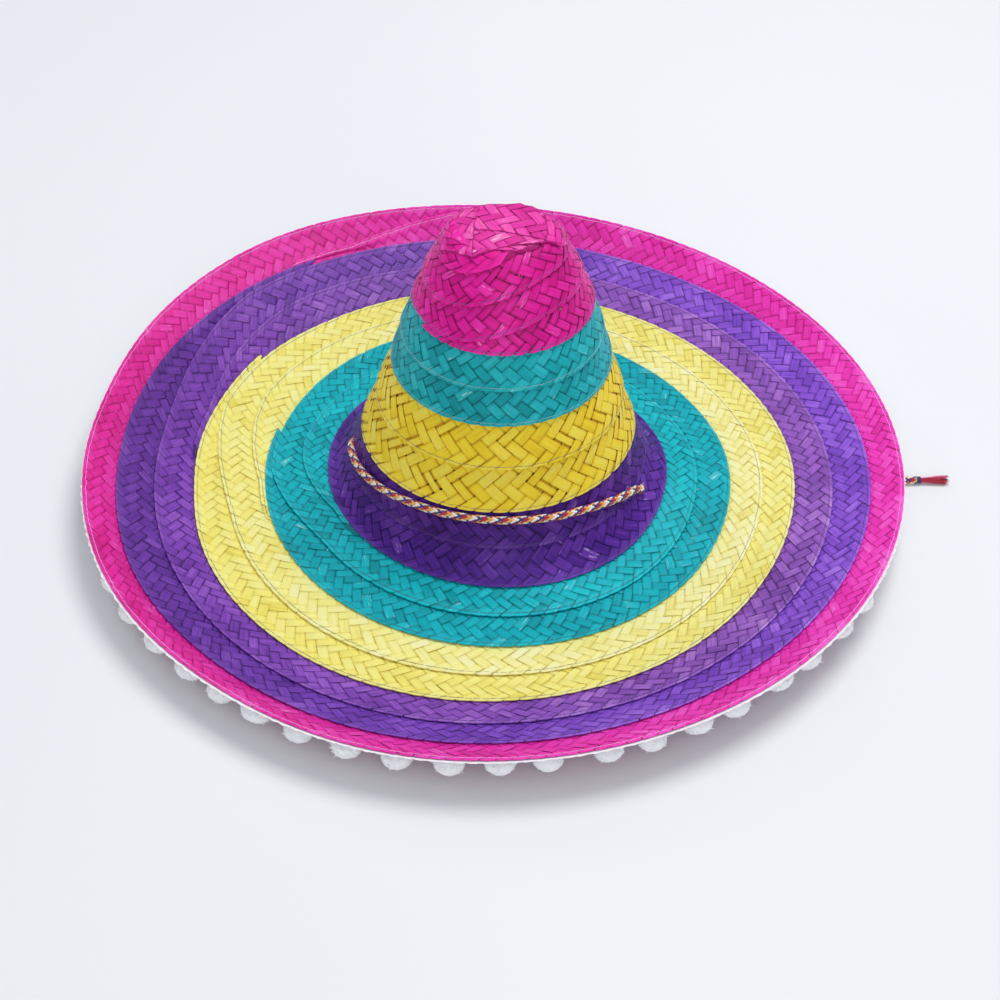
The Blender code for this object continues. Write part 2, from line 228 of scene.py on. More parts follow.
def lofted(points, attributes):
    """Points, faces and attributes of closed lofts. points is lofts x sections x corners x 3."""
    count, sections, sides = points.shape[:3]
    index = np.arange(count * sections * sides).reshape(count, sections, sides)
    near, far = index[:, :-1], index[:, 1:]
    near_next, far_next = np.roll(near, -1, axis=2), np.roll(far, -1, axis=2)
    quads = np.stack([near, near_next, far_next, far], axis=-1).reshape(-1, 4)
    caps = np.concatenate([index[:, 0, ::-1], index[:, -1]])
    flat = points.reshape(-1, 3)
    corners = flat[quads]
    halves = np.concatenate([corners[:, [0, 1, 2]], corners[:, [0, 2, 3]]])
    fans = [flat[caps[:, [0, i, i + 1]]] for i in range(1, sides - 1)]
    triangles = np.concatenate([halves] + fans)
    if np.linalg.det(triangles - flat.mean(axis=0)).sum() < 0:
        quads, caps = quads[:, ::-1], caps[:, ::-1]
    values = {}
    for label, value in attributes.items():
        shape = (*index.shape, 3) if value.ndim == 4 else index.shape
        values[label] = np.broadcast_to(value, shape).reshape(-1, *shape[3:])
    return flat, [quads, caps], values


def joined(parts):
    """Several lofted results as one: points, faces and attributes."""
    points, faces, values, base = [], [], {}, 0
    for flat, groups, attributes in parts:
        faces += [group + base for group in groups]
        points.append(flat)
        base += len(flat)
        for label, value in attributes.items():
            values.setdefault(label, []).append(value)
    return np.concatenate(points), faces, {k: np.concatenate(v) for k, v in values.items()}


def finish_piece(made, materials, slot, *nodes):
    """The piece's materials, body and the CAD nodes that it stands for; its record slot is not used."""
    for material in materials:
        made.data.materials.append(material)
    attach(made, "root")
    if nodes:
        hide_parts(*nodes)
    return made


# ---- materials
def linear(colour):
    """Linear red, green, blue and alpha of an sRGB colour given from 0 to 255."""
    c = np.array(colour) / 255
    return (*np.where(c <= 0.04045, c / 12.92, ((c + 0.055) / 1.055) ** 2.4), 1)


class Nodes:
    """A material's node tree, with short calls to add to it."""

    def __init__(self, name):
        self.material = bpy.data.materials.new(name)
        self.material.use_nodes = True
        self.tree = self.material.node_tree
        self.shader = self.tree.nodes["Principled BSDF"]

    def add(self, kind, inputs=None, **settings):
        node = self.tree.nodes.new(kind)
        for key, value in settings.items():
            setattr(node, key, value)
        for key, value in (inputs or {}).items():
            self.plug(value, node.inputs[key])
        return node

    def plug(self, value, socket):
        if isinstance(value, bpy.types.NodeSocket):
            self.tree.links.new(value, socket)
        else:
            socket.default_value = value

    def math(self, operation, a, b):
        return self.add("ShaderNodeMath", {0: a, 1: b}, operation=operation).outputs[0]

    def weighted(self, *terms):
        """The sum of the terms, each given as a value and its weight."""
        total = None
        for value, weight in terms:
            part = self.math("MULTIPLY", value, weight)
            total = part if total is None else self.math("ADD", total, part)
        return total

    def mix(self, share, a, b, blend="MIX"):
        node = self.add("ShaderNodeMix", data_type="RGBA", blend_type=blend)
        for socket, value in zip((node.inputs[0], node.inputs[6], node.inputs[7]), (share, a, b)):
            self.plug(value, socket)
        return node.outputs[2]

    def attribute(self, name, output="Fac"):
        return self.add("ShaderNodeAttribute", attribute_name=name).outputs[output]

    def place(self):
        return self.add("ShaderNodeTexCoord").outputs["Object"]

    def noise(self, vector, scale, detail=2.0, roughness=0.5):
        inputs = {"Vector": vector, "Scale": scale, "Detail": detail, "Roughness": roughness}
        return self.add("ShaderNodeTexNoise", inputs).outputs["Fac"]

    def stretched(self, vector, factors):
        inputs = {0: vector, 1: factors}
        return self.add("ShaderNodeVectorMath", inputs, operation="MULTIPLY").outputs[0]

    def remap(self, value, low, high, to_low=0.0, to_high=1.0):
        inputs = {0: value, 1: low, 2: high, 3: to_low, 4: to_high}
        return self.add("ShaderNodeMapRange", inputs, clamp=True).outputs[0]

    def bump(self, height, strength, distance):
        inputs = {"Height": height, "Strength": strength, "Distance": distance}
        self.plug(self.add("ShaderNodeBump", inputs).outputs[0], self.shader.inputs["Normal"])

    def dress(self, base, roughness, **constants):
        """Plugs the shader's base colour and roughness, and sets its other inputs to constants."""
        self.plug(base, self.shader.inputs["Base Color"])
        self.plug(roughness, self.shader.inputs["Roughness"])
        for label, value in constants.items():
            self.shader.inputs[label.replace("_", " ")].default_value = value


EVEN = (1, 1, 1)
# How far tone, streak, fibre, blotch, a constant, folds and edges move a strand along its colours.
# Folds lighten by wear and a painted highlight; edges darken by painted shade.
RAMP_WEIGHTS = (0.32, 0.46, 0.34, 0.46, -0.285, 0.1, -0.06)
DEEP_AT, MIDDLE_AT, BRIGHT_AT = 0.12, 0.48, 0.86
LAST_TURN = (0.42, 0.58)  # shares of a tape's length over which its last turn's colour factors take over
PALM_ROUGHNESS = (0.56, 0.34)  # between fibres, and on them
MID_NOISE = (0.3, 0.7)  # between which nearly all of a noise lies


def palm_material(name, deep, middle, bright, painted_shade, dye_and_light=(EVEN,) * 4):
    """Dyed palm: fibres along each strand, an own tone for each, blotches of uneven dyeing, and pale
    speckles of wear that also serve as painted glints. Painted shade darkens a strand under another
    one and along its sides; wear and a painted highlight lighten its outer folds; painted light and
    sheen set a turn's left apart from its right.
    """
    n = Nodes(name)
    strand = n.attribute("strand", "Vector")
    fibre = n.noise(n.stretched(strand, (110, 3400, 3)), 1.0, 3.0, 0.62)
    streak = n.noise(n.stretched(strand, (45, 900, 7)), 1.0, 2.0)
    tone = n.attribute("tone")
    blotch = n.noise(n.place(), 24.0, 3.0)
    # Painted shade along each strand's sides.
    edge = n.math("POWER", n.attribute("side"), 3.0)
    # fold lightens the outer folds by wear and a painted highlight on the ridge.
    causes = (tone, streak, fibre, blotch, 1.0, n.attribute("fold"), edge)
    # dive darkens a strand by painted shade where it passes under another one.
    value = n.weighted(*zip(causes, RAMP_WEIGHTS), (n.attribute("dive"), -painted_shade))
    colours = n.add("ShaderNodeValToRGB", {"Fac": value})
    ramp = colours.color_ramp.elements
    ramp[0].position, ramp[0].color = DEEP_AT, linear(deep)
    ramp[1].position, ramp[1].color = BRIGHT_AT, linear(bright)
    ramp.new(MIDDLE_AT).color = linear(middle)
    # East against west: painted light and sheen that differ between the hat's left and right.
    east = n.attribute("east")
    late = n.remap(n.attribute("wound"), *LAST_TURN)
    tints = [(*tint, 1) for tint in dye_and_light]
    tint = n.mix(late, n.mix(east, *tints[:2]), n.mix(east, *tints[2:]))
    coloured = n.mix(1.0, colours.outputs[0], tint, blend="MULTIPLY")
    # Pale speckles: wear on the fibres, and painted glints on the strands.
    wear_and_glint = n.noise(n.stretched(strand, (150, 1100, 11)), 1.0, 2.0)
    wear_and_glint_specks = n.remap(n.math("MULTIPLY", wear_and_glint, n.math("ADD", tone, 0.62)), 0.94, 1.06, 0.0, 0.6)
    pale = (*(0.45 * c + 0.5 for c in linear(bright)[:3]), 1)
    n.dress(
        n.mix(wear_and_glint_specks, coloured, pale), n.remap(fibre, *MID_NOISE, *PALM_ROUGHNESS), Specular_IOR_Level=0.18,
        Subsurface_Weight=0.3, Subsurface_Radius=(1, 1, 1), Subsurface_Scale=0.6 * MM,
    )
    n.bump(n.weighted((fibre, 1.0), (streak, 0.8)), 0.5, 0.12 * MM)
    return n.material


FINE_FIBRES = 2600.0  # per metre


def thread_material(name, colour, pale):
    """Spun thread: short fibres that wander round it, and a soft sheen."""
    n = Nodes(name)
    turned = n.stretched(n.attribute("strand", "Vector"), (1400, 900, 1))
    ply = n.add("ShaderNodeTexWave", {"Vector": turned, "Scale": 1.0, "Distortion": 1.5})
    fibre = n.noise(n.place(), FINE_FIBRES, 2.0)
    value = n.weighted((ply.outputs["Fac"], 0.5), (fibre, 0.6))
    base = n.mix(n.remap(value, 0.2, 0.9), linear(colour), linear(pale))
    n.dress(base, n.remap(fibre, *MID_NOISE, 0.6, 0.85), Sheen_Weight=0.3)
    n.bump(value, 0.6, 0.08 * MM)
    return n.material


def wool_material():
    """White acrylic wool: clumped fibres, soft, faintly see-through at its edges."""
    n = Nodes("white_wool")
    place = n.place()
    fibre = n.noise(place, FINE_FIBRES, 2.0)
    value = n.weighted((n.noise(place, 420.0, 3.0), 0.7), (fibre, 0.4))
    base = n.mix(n.remap(value, 0.3, 0.8), linear((236, 234, 238)), linear((255, 255, 255)))
    n.dress(
        base, n.remap(fibre, *MID_NOISE, 0.82, 0.96), Sheen_Weight=0.6,
        Subsurface_Weight=0.25, Subsurface_Radius=(2 * MM,) * 3, Subsurface_Scale=1.0,
    )
    n.bump(value, 0.4, 0.3 * MM)
    return n.material


# ---- plait
STRANDS = 7
PITCH_SHARE = 0.315  # spacing of the strands along a tape, as a share of its width
STRAND_FILL = 0.995  # strand width, as a share of the spacing square to it
HALF_LAYER = 0.27 * MM  # how far a strand's bottom lies above or below the tape's middle
CROWNING = 0.10 * MM  # how far a strand's middle stands over its edges
SHINGLE = 0.8 * MM  # how far a row's outer edge stands over the shell, and its inner edge under it
SPARE = 0.5 * MM  # width that a tape has over what its rows need
FLAT_OVERLAP, TUCKED_OVERLAP = 0.7 * OVERLAP, 0.3 * OVERLAP  # the second takes all spare width
BEAD = 0.2 * MM  # extra height of the folds along the outer edge
BEAD_REACH, BEAD_SPREAD = 0.4 * MM, 1.1 * MM  # how far they reach out past it, and in
SEAM_INSET = 1.5 * MM  # from the outer edge to the row of stitches
RIM_SEAM_INSET = 1.7 * MM
SEAM_SINK, SEAM_SPREAD = 0.1 * MM, 0.8 * MM  # how deep and how far about the stitches press
TURNS_OVER = np.array([1.5, 3.5, 5.5])  # where a strand turns over or under, in strands crossed
TURN_SOFTNESS = 1.35 * MM  # half the length of such a turn
TURN_STATIONS = np.array([-1.8, -0.6, 0.6, 1.8]) * MM  # sections about each turn
END_STATIONS = np.array([5.4, 4.6, 3.9, 3.1, 2.0, 1.0, 0.0]) * MM  # sections before the outer edge
START_SLANT, END_SLANT = 6 * MM, (4.6 * MM, 12 * MM)  # over which sections turn along an edge
STRAND_DRIFT, STRAND_WOBBLE = 0.12 * MM, 0.07 * MM  # unevenness sideways, and up
SHARED_TONE, OWN_TONE = 0.55, 0.45  # parts of a pass's tone: its strand's, and its own
DIVE_SHADE, DIVE_FADE, DIVE_POWER = 0.62, 0.34, 1.5  # shade under a strand, less towards a row's sides
CUT_WIDTH = 3.5 * MM  # showing width where a tape is cut off at its two ends
CUT_TURN = math.radians(3)  # over which a cut end slants away
CUT_RECOVERY = math.radians(50)  # over which the row inside a cut end widens again
ACROSS = np.array([-1, -0.62, 0, 0.62, 1])
CROWN_PROFILE = np.array([0, 0.85, 1, 0.85, 0])
# Painted shade along a strand's two sides, where it meets its neighbours.
EDGE_SHADE_PROFILE = np.array([1.0, 0.0, 0.0, 0.0, 1.0])
CURL = np.radians([36, 72, 108, 144, 180])

# Each tape: name, shell radius at its outer edge, turns, azimuth where its turns end, angle over
# which a turn crosses to the next one, record slot. Its CAD node has _plait after the name.
TAPES = [
    ("crown_magenta", 0.0577, 3, 210, 110, "magenta_palm"),
    ("crown_teal", 0.0732, 2, 120, 60, "teal_palm"),
    ("crown_yellow", 0.0877, 2, 75, 60, "yellow_palm"),
    ("crown_purple", 0.1112, 2, 100, 60, "dark_purple_palm"),
    ("brim_teal", 0.1526, 2, 165, 50, "teal_palm"),
    ("brim_yellow", 0.1990, 2, 146, 50, "yellow_palm"),
    ("brim_purple", 0.2447, 2, 125, 50, "purple_palm"),
    ("brim_magenta", 0.2650, 1, 84, 42, "magenta_palm"),
]
# For each tape: deep, middle and bright colour of its palm, and its sewing thread.
PALM = {
    "crown_magenta": ((166, 8, 104), (226, 22, 148), (254, 70, 186), (112, 44, 116)),
    "crown_teal": ((3, 118, 124), (18, 178, 184), (62, 214, 216), (110, 160, 165)),
    "crown_yellow": ((200, 156, 14), (255, 226, 50), (255, 246, 112), (124, 114, 78)),
    "crown_purple": ((46, 16, 88), (84, 36, 144), (134, 78, 192), (40, 32, 84)),
    "brim_teal": ((1, 124, 132), (2, 178, 188), (26, 208, 216), (26, 96, 112)),
    "brim_yellow": ((230, 202, 66), (255, 243, 132), (255, 252, 184), (140, 132, 104)),
    "brim_purple": ((72, 32, 124), (124, 68, 188), (172, 118, 226), (54, 36, 100)),
    "brim_magenta": ((192, 18, 122), (240, 44, 172), (255, 88, 206), (222, 152, 196)),
}

THREAD_PALER = 40  # how much paler its fibres get, of 255

# How much narrower than their spacing a tape's strands are, and how much more its narrowest ones;
# holes open at their crossings.
LOOSENESS = {"crown_yellow": (0.02, 0.42), "crown_magenta": (0.0, 0.26)}
USUAL_LOOSENESS = (0.0, 0.1)
# Linear factors of a tape's colour: its first turn's left and right, and its last turn's left and
# right. The turns differ in dyeing; a turn's left and right differ by painted light and sheen.
DYE_AND_SIDE_LIGHT = {
    "crown_magenta": ((1.15, 0.82, 1.1), (0.95, 0.92, 0.94)) * 2,
    "crown_yellow": ((1.16, 1.13, 1.1), (1.06, 1.0, 0.88)) * 2,
    "crown_purple": ((0.88, 0.9, 0.86),) * 2 + ((0.92, 0.88, 0.99),) * 2,
    "brim_teal": (EVEN, (0.88, 1.03, 1.04), (0.75, 0.87, 0.9), (0.66, 0.9, 0.94)),
    "brim_yellow": ((1.0, 1.02, 1.02), (1.0, 1.04, 1.45), (0.99, 0.98, 0.76), (0.99, 1.0, 1.0)),
    "brim_purple": ((1.02, 0.88, 0.9), (1.55, 1.9, 1.08), (0.68, 0.56, 0.66), (1.31, 1.46, 1.38)),
    "brim_magenta": ((0.97, 0.72, 0.8), (1.18, 1.6, 1.26)) * 2,
}
# How much painted shade darkens a strand where it passes under another one.
PAINTED_DIVE_SHADE = {"brim_yellow": 0.42, "crown_yellow": 0.6, "brim_magenta": 0.7}
USUAL_PAINTED_DIVE_SHADE = 0.74


def turn_edge(wound, start, end, turns, crossing):
    """Outer edge, as an arc length, of a tape at the angle that it has wound so far."""
    crossed = np.floor((wound + crossing) / FULL)
    part = smooth(-crossing, 0, wound - FULL * crossed)
    edge = start + (end - start) * (crossed + part) / turns
    edge = np.clip(edge, start + CUT_WIDTH, end - CUT_WIDTH)
    opening = start + CUT_WIDTH * smooth(-crossing - CUT_TURN, -crossing, wound)
    last = FULL * (turns - 1)
    closing = end - CUT_WIDTH * (turns > 1) * (1 - smooth(last, last + CUT_RECOVERY, wound))
    return np.where(wound < -crossing, opening, np.where(wound > last, closing, edge))


class Tape:
    """One tape of plait: where a place along and across it lies on the shell."""

    def __init__(self, start, end, turns, ends_at, crossing):
        self.end_azimuth = math.radians(ends_at)
        crossing = math.radians(crossing)
        self.width = (end - start) / turns + OVERLAP + SPARE
        self.wound = np.linspace(-crossing - 2 * CUT_TURN, FULL * turns + CUT_TURN, 1500)
        self.outer = turn_edge(self.wound, start, end, turns, crossing)
        past = smooth(FULL * turns, FULL * turns + CUT_TURN, self.wound)
        self.inner = turn_edge(self.wound - FULL, start, end, turns, crossing)
        self.inner = self.inner + past * (self.outer - self.inner)
        radius = np.interp((self.outer + self.inner) / 2, ARCS, SHELL_RADII)
        steps = (radius[1:] + radius[:-1]) / 2 * np.diff(self.wound)
        self.lengths = np.concatenate([[0], np.cumsum(steps)])

    def place(self, along, across, lift):
        """Points at lengths along the tape, at widths from its inner edge, and at heights over it."""
        wound = np.interp(along, self.lengths, self.wound)
        outer = np.interp(wound, self.wound, self.outer)
        inner = np.interp(wound, self.wound, self.inner)
        showing = outer - inner
        spare = self.width - showing - FLAT_OVERLAP
        squeezed = inner - OVERLAP + TUCKED_OVERLAP * across / np.maximum(spare, 1e-6)
        arc = np.where(across > spare, outer - self.width + across, squeezed)
        rise = np.clip((arc - inner) / np.maximum(showing - OVERLAP, 0.5 * MM), 0, 1)
        offset = SHINGLE * (2 * rise - 1) + lift
        return on_shell(arc, self.end_azimuth - wound, offset)


def strand_set(tape, direction, tones, seam_inset, looseness):
    """All the passes of strands that cross a tape one way, as lofts."""
    width = tape.width
    pitch = PITCH_SHARE * width
    lay = math.atan2(2, STRANDS * PITCH_SHARE)
    length = width / math.sin(lay)
    strand_width = STRAND_FILL * pitch * math.sin(lay)
    level = length / STRANDS

    turns_over = TURNS_OVER * level
    stations = np.sort(np.concatenate([
        [0, 0.45 * turns_over[0]],
        (turns_over[:, None] + TURN_STATIONS).reshape(-1),
        (turns_over[1:] + turns_over[:-1]) / 2,
        length - END_STATIONS,
    ]))

    count = int(tape.lengths[-1] / pitch) + 1
    reach = length * math.cos(lay)
    first = np.arange(count) * pitch
    spare = 2 * MM
    inside = first + reach < tape.lengths[-1] - spare if direction > 0 else first - reach > spare
    passes = np.arange(count)[inside]
    first = first[inside][:, None, None]

    fill = 1 - looseness[0] - looseness[1] * rng.random(len(passes))[:, None, None] ** 3
    drift = STRAND_DRIFT * rng.normal(size=len(passes))[:, None, None]
    side = ACROSS * strand_width / 2 * fill + drift
    to_end = length - stations
    slant = np.maximum(1 - stations / START_SLANT, 1 - smooth(*END_SLANT, to_end))[:, None]
    along = stations[:, None] - side / math.tan(lay) * np.clip(slant, 0, 1)
    u = first + direction * (along * math.cos(lay) - side * math.sin(lay))
    v = along * math.sin(lay) + side * math.cos(lay)

    crossed = STRANDS * (along + side / math.tan(2 * lay)) / length
    soft = TURN_SOFTNESS / level
    over = 1.0
    for i, place in enumerate(TURNS_OVER):
        over = over - 2 * (-1) ** i * smooth(place - soft, place + soft, crossed)
    over = -direction * over
    bead = np.exp(-(((width - v) / BEAD_SPREAD) ** 2))
    seam = np.exp(-(((width - seam_inset - v) / SEAM_SPREAD) ** 2))
    wobble = STRAND_WOBBLE * rng.normal(size=len(passes))[:, None, None]
    middle = -CROWNING / 2
    lift = (HALF_LAYER + BEAD * bead) * over + wobble - SEAM_SINK * seam + middle
    top = lift + CROWNING * CROWN_PROFILE

    if direction > 0:  # the strand's end curls over the tape's edge and under it
        curl = CURL[None, :, None]
        bulge = BEAD_REACH * (1.3 - 0.6 * ACROSS**2) + CROWNING * CROWN_PROFILE
        end_v = width + bulge * np.sin(curl)
        end_top = (HALF_LAYER + BEAD + CROWNING * CROWN_PROFILE) * np.cos(curl) + middle + wobble
        ones = np.ones((len(passes), len(CURL), len(ACROSS)))
        starts = (u, v, top, bead, along, over)
        ends = (u[:, -1:], end_v, end_top, 1, along[:, -1:], 1)
        u, v, top, bead, along, over = (
            np.concatenate([start, ones * end], axis=1) for start, end in zip(starts, ends)
        )

    points = tape.place(u, v, top)
    tone = SHARED_TONE * tones[passes % STRANDS] + OWN_TONE * rng.random(len(passes))
    number = np.broadcast_to((passes * 1.7 + direction)[:, None, None], u.shape)
    strand = np.stack([along, np.broadcast_to(side, u.shape), number], axis=-1)
    # fold: the outer folds lighten by wear and a painted highlight on the ridge.
    values = {"strand": strand, "tone": tone[:, None, None], "fold": bead, "side": EDGE_SHADE_PROFILE}
    # dive: painted shade where a strand passes under another, lighter towards a row's sides.
    values["dive"] = (1 - over) * (DIVE_SHADE - DIVE_FADE * np.abs(2 * v / width - 1) ** DIVE_POWER)
    values["wound"] = u / tape.lengths[-1]
    # east: painted light and sheen that differ between the hat's left and right.
    azimuth = tape.end_azimuth - np.interp(u, tape.lengths, tape.wound)
    values["east"] = 0.5 + 0.5 * np.cos(azimuth)
    return lofted(points, values)


STITCH, STITCH_GAP = 4.4 * MM, 0.2 * MM
STITCH_RADIUS = 0.21 * MM
STITCH_SWAY = 0.15 * MM
STITCH_SECTIONS = np.array([0, 0.12, 0.5, 0.88, 1])  # shares of its length
STITCH_HEIGHTS = np.array([-0.16, 0.06, 0.1, 0.06, -0.16]) * MM


def seam_stitches(tape, inset, start):
    """The row of stitches that holds a tape to the next one in, from an angle wound on, as lofts."""
    begin = STITCH + np.interp(start, tape.wound, tape.lengths)
    first = np.arange(begin, tape.lengths[-1] - 2 * STITCH, STITCH + STITCH_GAP)[:, None, None]
    turn = np.radians(np.arange(5) * 72)
    sway = STITCH_SWAY * rng.normal(size=len(first))[:, None, None]
    u = first + STITCH * STITCH_SECTIONS[None, :, None] + 0 * turn
    v = tape.width - inset + sway + STITCH_RADIUS * np.cos(turn) + 0 * u
    lift = HALF_LAYER + CROWNING / 2 - SEAM_SINK + STITCH_HEIGHTS[None, :, None]
    lift = lift + STITCH_RADIUS * np.sin(turn) + 0 * u
    strand = np.stack([u, STITCH_RADIUS * turn + 0 * u, 0 * u], axis=-1)
    return lofted(tape.place(u, v, lift), {"strand": strand})


HOLE_ROOM = 2.0 * MM  # radius that stays clear of strands in a cord's hole
HOLE_SPREAD, HOLE_DEPTH = 10 * MM, 14 * MM  # over which they bend, about the cord and along it


def hole_spread(points, holes):
    """Pushes strands aside round each hole that the cord passes, so that it has room."""
    for outside, inside in holes:
        axis = (inside - outside) / np.linalg.norm(inside - outside)
        off = points - outside
        off = off - (off @ axis)[:, None] * axis
        far = np.linalg.norm(off, axis=1)
        along = (points - (outside + inside) / 2) @ axis
        near = (far < HOLE_SPREAD) & (np.abs(along) < HOLE_DEPTH)
        push = np.sqrt(far**2 + HOLE_ROOM**2) - far
        push = push * (1 - smooth(0.4 * HOLE_SPREAD, HOLE_SPREAD, far))
        points = points + np.where(near, push / np.maximum(far, 1e-6), 0)[:, None] * off
    return points


def make_tapes(holes):
    """Every tape's strands and stitches, from the crown's tip to the rim."""
    start = TIP_ARC
    for name, radius, turns, ends_at, crossing, slot in TAPES:
        end = arc_at(radius)
        tape = Tape(start, end, turns, ends_at, crossing)
        tones = rng.random(STRANDS)
        inset = SEAM_INSET if turns > 1 else RIM_SEAM_INSET
        looseness = LOOSENESS.get(name, USUAL_LOOSENESS)
        sets = [strand_set(tape, direction, tones, inset, looseness) for direction in (1, -1)]
        points, faces, values = joined(sets)
        if name == "crown_purple":  # the cord goes through this one
            points = hole_spread(points, holes)
        deep, middle, bright, thread = PALM[name]
        painted_shade, dye_and_light = PAINTED_DIVE_SHADE.get(name, USUAL_PAINTED_DIVE_SHADE), DYE_AND_SIDE_LIGHT.get(name, (EVEN,) * 4)
        palm = palm_material(f"{name}_plait", deep, middle, bright, painted_shade, dye_and_light)
        rows = mesh_object(f"{name}_rows", points, faces, values)
        finish_piece(rows, [palm], slot, f"{name}_plait")
        paler = tuple(min(255, c + THREAD_PALER) for c in thread)
        spun = thread_material(f"{name}_seam", thread, paler)
        hidden = 0 if start == TIP_ARC else -FULL  # the tip covers the first tape's first seam
        stitches = mesh_object(f"{name}_seam", *seam_stitches(tape, inset, hidden))
        finish_piece(stitches, [spun], "tassel_thread")
        start = end


# ---- chin cord
CORD_DIAMETER = 4.5 * MM
CORD_OFFSET = 3.0 * MM
ENTRY_OFFSET = 0.9 * MM  # where the cord starts to dive into a hole
INSIDE_OFFSET = -7.5 * MM
HOLE_REACH = 5.5  # degrees either way from a hole's middle
STRAIGHT_START = 4.5 * MM  # of a tail, along the way out of its hole
GAP = 0.3 * MM  # between the front stretch and a tail
# Azimuth in degrees and arc length of the holes and of the stretch between them.
LEFT_HOLE = (-184, 0.2062)
RIGHT_HOLE = (-17.8, 0.2182)
FRONT_ROUTE = [
    (-173.5, 0.2062), (-160, 0.2032), (-146, 0.1992), (-130, 0.1950), (-110, 0.1928),
    (-90, 0.1928), (-70, 0.1950), (-52, 0.1990), (-38, 0.2055), (-26.5, 0.2130),
]
# The tails' ways inside: X, Y and Z of the right one; azimuth in degrees, radius and Z of the left.
RIGHT_TAIL = [
    (0.0800, -0.0080, 0.0078), (0.0778, 0.0040, 0.0030), (0.0845, 0.0115, 0.0026),
    (0.0960, 0.0085, 0.0026), (0.1110, -0.0020, 0.0026), (0.1330, -0.0115, 0.0026),
    (0.1650, -0.0160, 0.0026), (0.2000, -0.0150, 0.0026), (0.2400, -0.0110, 0.0026),
    (0.2780, -0.0095, 0.0028),
]
LEFT_TAIL = [
    (163, 0.0840, 0.0170), (154, 0.0850, 0.0075), (145, 0.0870, 0.0030), (135, 0.0890, 0.0026),
    (115, 0.0915, 0.0026), (95, 0.0905, 0.0026), (75, 0.0925, 0.0026), (57, 0.0900, 0.0026),
    (42, 0.0910, 0.0026), (31, 0.0895, 0.0027),
]
RIGHT_LENGTH, LEFT_LENGTH = 0.243, 0.233
BRAID = ("white", "tan", "red", "navy") * 2  # the strands that go one way round
BRAID_LEAD = 25 * MM  # length over which a strand goes once round the cord
BRAID_FACING = math.radians(-42)  # turns the side where the colours meet in blocks up and out
BRAID_SHARE = 0.96  # a strand's width, as a share of its spacing
BRAID_DEPTH, BRAID_WEAVE = 0.45 * MM, 0.27 * MM  # of strands under the surface, and in and out
BRAID_SECTION = np.array([(-1, 0), (-0.55, 0.85), (0.55, 0.85), (1, 0), (0, -0.4)])
BRAID_HEIGHT = 0.55 * MM
TASSEL_COLOURS = ("red", "red", "pink", "navy", "red", "pink", "red", "white")
TASSEL_THREADS = 64
TASSEL_THREAD = 0.24 * MM
TASSEL_LENGTH = 20 * MM
BINDING_TURNS, BINDING_SECTIONS = 4, 60
BINDING_LENGTH, BINDING_RADIUS = 2.8 * MM, 2.0 * MM
BINDING_THREAD = 0.42 * MM
UP = np.array([0, 0, 1.0])
CORD_COLOURS = {
    "white": ((236, 230, 222), (250, 247, 242)),
    "tan": ((222, 160, 62), (244, 198, 96)),
    "red": ((168, 14, 44), (204, 40, 68)),
    "navy": ((30, 30, 98), (62, 62, 134)),
    "pink": ((206, 70, 128), (232, 120, 166)),
}


def curve_through(points, spacing):
    """Points about spacing apart on a smooth curve through the route's own points."""
    points = [np.array(p, float) for p in points]
    ends = [2 * points[0] - points[1]] + points + [2 * points[-1] - points[-2]]
    found = []
    for before, a, b, after in zip(ends, ends[1:], ends[2:], ends[3:]):
        span = np.linalg.norm(b - a)
        slope_a = (b - before) / (span + np.linalg.norm(a - before))
        slope_b = (after - a) / (np.linalg.norm(after - b) + span)
        count = max(1, round(span / spacing))
        found += [hermite(a, b, slope_a, slope_b, i / count, span) for i in range(count)]
    return np.array(found + [points[-1]])


def hole_ends(hole, towards):
    """Centre-line points of the cord outside and inside a hole; towards is +1 or -1 in azimuth."""
    azimuth, arc = hole
    outside = on_shell(arc, math.radians(azimuth - towards * HOLE_REACH), ENTRY_OFFSET)
    inside = on_shell(arc, math.radians(azimuth + towards * HOLE_REACH), INSIDE_OFFSET)
    return outside, inside


def frames_along(line):
    """Unit sides and ups that turn as little as they can along a line."""
    tangents = np.gradient(line, axis=0)
    tangents /= np.linalg.norm(tangents, axis=1)[:, None]
    side = np.cross(tangents[0], UP)
    sides = []
    for tangent in tangents:
        side = side - tangent * (side @ tangent)
        side = side / np.linalg.norm(side)
        sides.append(side)
    return np.array(sides), np.cross(tangents, sides)


def braid(line):
    """The strands of a round braid along a centre line, as pairs of a colour and a loft."""
    found = {}
    runs = np.concatenate([[0], np.cumsum(np.linalg.norm(np.diff(line, axis=0), axis=1))])
    sides, ups = frames_along(line)
    half_width = BRAID_SHARE * math.pi / len(BRAID)  # an angle round the cord
    for way in (1, -1):
        for i, colour in enumerate(BRAID):
            turn = BRAID_FACING + way * FULL * (runs / BRAID_LEAD + i / len(BRAID))
            crossing = 2 * len(BRAID) * runs / BRAID_LEAD + 2 * i
            weave = way * np.cos(np.pi * (crossing + 0.5 * way) / 2)
            radius = CORD_DIAMETER / 2 - BRAID_DEPTH + BRAID_WEAVE * weave
            angle = turn[:, None] + BRAID_SECTION[:, 0] * half_width
            out = radius[:, None] + BRAID_SECTION[:, 1] * BRAID_HEIGHT
            points = line[:, None] + (np.cos(angle) * out)[..., None] * sides[:, None]
            points = points + (np.sin(angle) * out)[..., None] * ups[:, None]
            strand = [runs[:, None] + 0 * angle, BRAID_SECTION[:, 0] * MM + 0 * angle, 0 * angle]
            part = lofted(points[None], {"strand": np.stack(strand, -1)[None]})
            found.setdefault(colour, []).append(part)
    return [(colour, part) for colour, parts in found.items() for part in parts]


